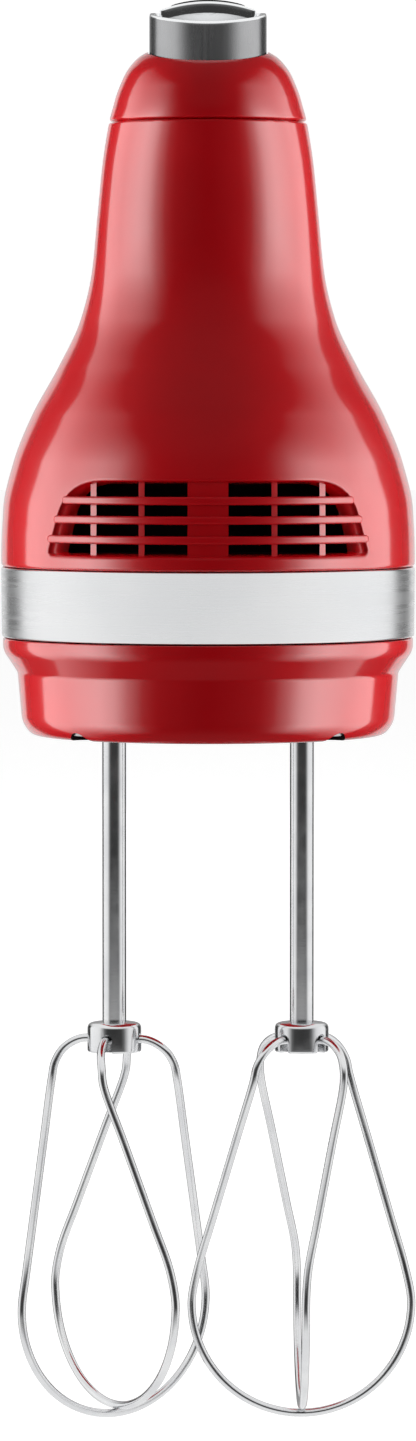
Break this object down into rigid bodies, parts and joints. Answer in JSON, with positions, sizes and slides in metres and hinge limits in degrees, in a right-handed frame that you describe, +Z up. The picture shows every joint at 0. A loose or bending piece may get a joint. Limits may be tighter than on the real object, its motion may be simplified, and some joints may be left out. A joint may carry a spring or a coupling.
{
  "type": "hand mixer",
  "caption": "Electric hand mixer with a loop handle, bell-shaped gloss housing with a metal waist band, top eject button and speed slider, and wire beaters on driven spindles.",
  "frame": {"origin": "middle of the handle's grip, on the mixer's plane of symmetry, where a hand holds it", "axes": "+X across the width, to the right as seen from in front of the nose; +Y from the nose to the heel; +Z up, along the beater shafts"},
  "size_m": [0.0882, 0.2001, 0.3041],
  "materials": {
    "housing_red": "gloss",
    "trim_metal": "satin",
    "control_metal": "satin",
    "grip_rubber": "matte",
    "black_rubber": "matte",
    "beater_steel": "polished",
    "inner_steel": "machined",
    "core_iron": "laminated",
    "bronze": "sintered",
    "copper": "enamelled",
    "inner_plastic": "matte",
    "nylon": "matte",
    "board_green": "satin"
  },
  "bodies": {
    "housing": {"lower_housing": "housing_red", "trim_band": "trim_metal", "upper_housing": "housing_red", "handle_cover": "housing_red", "grip_insert": "grip_rubber", "housing_screw_1": "inner_steel", "housing_screw_2": "inner_steel", "housing_screw_3": "inner_steel", "housing_screw_4": "inner_steel", "heel_pad_upper": "black_rubber", "heel_pad_lower": "black_rubber", "ejector_guide": "inner_plastic", "ejector_spring": "inner_steel", "switch_plate": "trim_metal", "selector_switch": "inner_plastic", "gear_frame": "core_iron", "left_lower_bush": "bronze", "left_upper_bush": "bronze", "right_lower_bush": "bronze", "right_upper_bush": "bronze", "front_bearing": "bronze", "middle_bearing": "bronze", "rear_bearing": "bronze", "stator_core": "core_iron", "field_coil_top": "copper", "field_coil_bottom": "copper", "rear_bracket": "core_iron", "brush_holder_left": "bronze", "brush_holder_right": "bronze", "brush_left": "inner_plastic", "brush_right": "inner_plastic", "cord_inlet": "black_rubber", "cord_clamp": "inner_plastic", "terminal_block": "nylon", "speed_board": "board_green"},
    "rotor": {"motor_shaft": "inner_steel", "worm": "inner_steel", "fan": "inner_plastic", "armature_core": "core_iron", "armature_winding_front": "copper", "armature_winding_rear": "copper", "commutator": "copper"},
    "left_spindle": {"left_spindle": "inner_steel", "left_gear": "nylon"},
    "right_spindle": {"right_spindle": "inner_steel", "right_gear": "nylon"},
    "left_beater": {"left_beater_shaft": "beater_steel", "left_beater_hub": "beater_steel", "left_beater_outer_wire": "beater_steel", "left_beater_inner_wire": "beater_steel"},
    "right_beater": {"right_beater_shaft": "beater_steel", "right_beater_hub": "beater_steel", "right_beater_outer_wire": "beater_steel", "right_beater_inner_wire": "beater_steel"},
    "ejector": {"eject_button": "control_metal", "ejector_rod": "inner_steel", "ejector_fork": "inner_plastic"},
    "speed_control": {"speed_slider": "control_metal", "contact_carriage": "inner_plastic"}
  },
  "joints": [
    {"name": "motor_spin", "type": "hinge", "parent": "housing", "child": "rotor", "pos_m": [0, -0.065, -0.1015], "axis": [0, 1, 0], "continuous": true},
    {"name": "left_spin", "type": "hinge", "parent": "housing", "child": "left_spindle", "pos_m": [-0.02, -0.065, -0.1015], "axis": [0, 0, 1], "continuous": true},
    {"name": "right_spin", "type": "hinge", "parent": "housing", "child": "right_spindle", "pos_m": [0.02, -0.065, -0.1015], "axis": [0, 0, 1], "continuous": true},
    {"name": "left_beater_pull", "type": "slide", "parent": "left_spindle", "child": "left_beater", "axis": [0, 0, -1], "range_m": [0, 0.055]},
    {"name": "right_beater_pull", "type": "slide", "parent": "right_spindle", "child": "right_beater", "axis": [0, 0, -1], "range_m": [0, 0.055]},
    {"name": "eject_press", "type": "slide", "parent": "housing", "child": "ejector", "axis": [0, 0, -1], "range_m": [0, 0.006], "stiffness_N_per_m": 600, "springref_m": -0.002, "deforming": ["ejector_spring"]},
    {"name": "speed_slide", "type": "slide", "parent": "housing", "child": "speed_control", "axis": [0, -1, 0], "range_m": [0, 0.015]}
  ],
  "couplings": [
    {"joint": "left_spin", "follows": "motor_spin", "ratio": 0.083333},
    {"joint": "right_spin", "follows": "motor_spin", "ratio": -0.083333}
  ]
}
